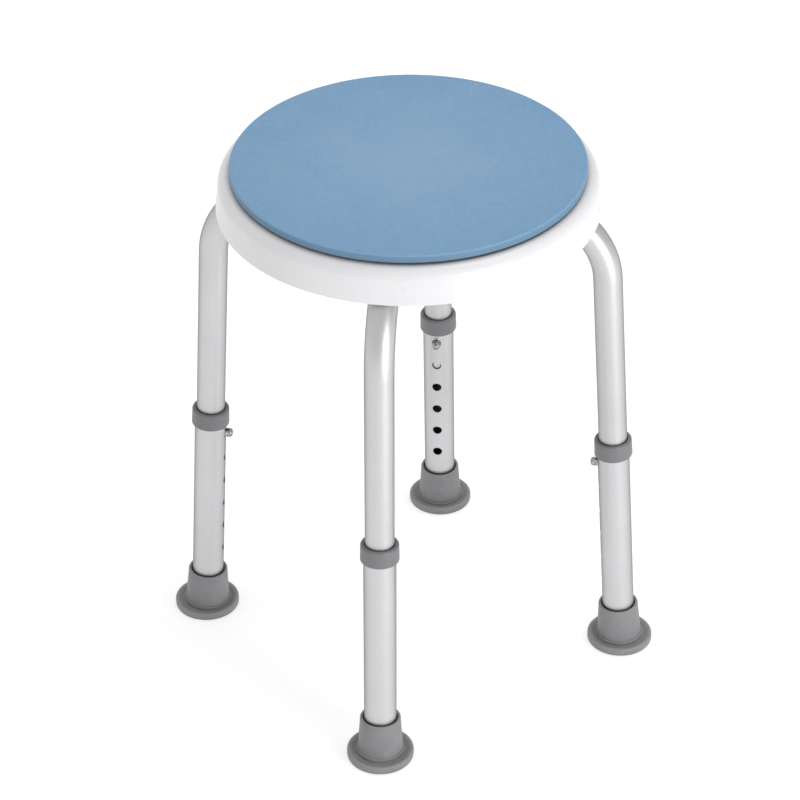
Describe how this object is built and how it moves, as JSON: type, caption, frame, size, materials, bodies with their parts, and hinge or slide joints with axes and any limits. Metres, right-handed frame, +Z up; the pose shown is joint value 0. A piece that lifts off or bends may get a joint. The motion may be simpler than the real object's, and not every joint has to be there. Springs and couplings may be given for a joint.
{
  "type": "shower stool",
  "caption": "Round shower stool: a swivelling blue seat disc on a white base with telescopic aluminium legs, spring-button height locks and rubber feet.",
  "frame": {"origin": "on the floor at the stool's centre, under the seat's swivel axis", "axes": "+Z up along the swivel axis; the legs stand on the X and Y axes, with the right leg on +X and the front leg on -Y"},
  "size_m": [0.439, 0.439, 0.485],
  "materials": {
    "blue_seat": "moulded polypropylene with a fine leather grain, dusty blue",
    "white_base": "smooth moulded polypropylene, white, soft gloss",
    "aluminium_tube": "satin anodised aluminium tube",
    "grey_collar": "moulded grey plastic, fine texture",
    "grey_rubber": "grey thermoplastic rubber",
    "plated_button": "nickel plated steel, polished",
    "spring_steel": "spring steel strip",
    "steel_fastener": "stainless steel",
    "brass_insert": "turned brass",
    "polished_ball": "polished stainless steel balls",
    "acetal": "natural acetal, low friction"
  },
  "bodies": {
    "base": {"seat_base": "white_base", "pivot_bush": "acetal", "leg_bolts": "steel_fastener", "leg_nuts": "steel_fastener", "leg_tube_right": "aluminium_tube", "leg_tube_rear": "aluminium_tube", "leg_tube_left": "aluminium_tube", "leg_tube_front": "aluminium_tube", "button_spring_right": "spring_steel", "button_spring_rear": "spring_steel", "button_spring_left": "spring_steel", "button_spring_front": "spring_steel"},
    "seat": {"swivel_seat": "blue_seat", "pivot_insert": "brass_insert", "pivot_screw": "steel_fastener", "pivot_washer": "steel_fastener"},
    "ball_ring": {"ball_cage": "acetal", "bearing_balls": "polished_ball"},
    "lower_leg_right": {"lower_tube_right": "aluminium_tube", "collar_right": "grey_collar", "foot_right": "grey_rubber"},
    "button_right": {"snap_button_right": "plated_button"},
    "lower_leg_rear": {"lower_tube_rear": "aluminium_tube", "collar_rear": "grey_collar", "foot_rear": "grey_rubber"},
    "button_rear": {"snap_button_rear": "plated_button"},
    "lower_leg_left": {"lower_tube_left": "aluminium_tube", "collar_left": "grey_collar", "foot_left": "grey_rubber"},
    "button_left": {"snap_button_left": "plated_button"},
    "lower_leg_front": {"lower_tube_front": "aluminium_tube", "collar_front": "grey_collar", "foot_front": "grey_rubber"},
    "button_front": {"snap_button_front": "plated_button"}
  },
  "joints": [
    {"name": "seat_swivel", "type": "hinge", "parent": "base", "child": "seat", "pos_m": [0, 0, 0.4775], "axis": [0, 0, 1], "continuous": true},
    {"name": "ball_ring_roll", "type": "hinge", "parent": "base", "child": "ball_ring", "pos_m": [0, 0, 0.4775], "axis": [0, 0, 1], "continuous": true},
    {"name": "height_slide_right", "type": "slide", "parent": "base", "child": "lower_leg_right", "axis": [-0.0541, 0, 0.9985], "range_m": [0, 0.127], "deforming": ["snap_button_right"]},
    {"name": "button_press_right", "type": "slide", "parent": "base", "child": "button_right", "axis": [-0.9985, 0, -0.0541], "range_m": [-0.0079, 0], "stiffness_N_per_m": 1200, "springref_m": 0.002, "deforming": ["button_spring_right"]},
    {"name": "height_slide_rear", "type": "slide", "parent": "base", "child": "lower_leg_rear", "axis": [0, -0.0541, 0.9985], "range_m": [0, 0.127], "deforming": ["snap_button_rear"]},
    {"name": "button_press_rear", "type": "slide", "parent": "base", "child": "button_rear", "axis": [0, -0.9985, -0.0541], "range_m": [-0.0079, 0], "stiffness_N_per_m": 1200, "springref_m": 0.002, "deforming": ["button_spring_rear"]},
    {"name": "height_slide_left", "type": "slide", "parent": "base", "child": "lower_leg_left", "axis": [0.0541, 0, 0.9985], "range_m": [0, 0.127], "deforming": ["snap_button_left"]},
    {"name": "button_press_left", "type": "slide", "parent": "base", "child": "button_left", "axis": [0.9985, 0, -0.0541], "range_m": [-0.0079, 0], "stiffness_N_per_m": 1200, "springref_m": 0.002, "deforming": ["button_spring_left"]},
    {"name": "height_slide_front", "type": "slide", "parent": "base", "child": "lower_leg_front", "axis": [0, 0.0541, 0.9985], "range_m": [0, 0.127], "deforming": ["snap_button_front"]},
    {"name": "button_press_front", "type": "slide", "parent": "base", "child": "button_front", "axis": [0, 0.9985, -0.0541], "range_m": [-0.0079, 0], "stiffness_N_per_m": 1200, "springref_m": 0.002, "deforming": ["button_spring_front"]}
  ],
  "couplings": [
    {"joint": "ball_ring_roll", "follows": "seat_swivel", "ratio": 0.5}
  ]
}
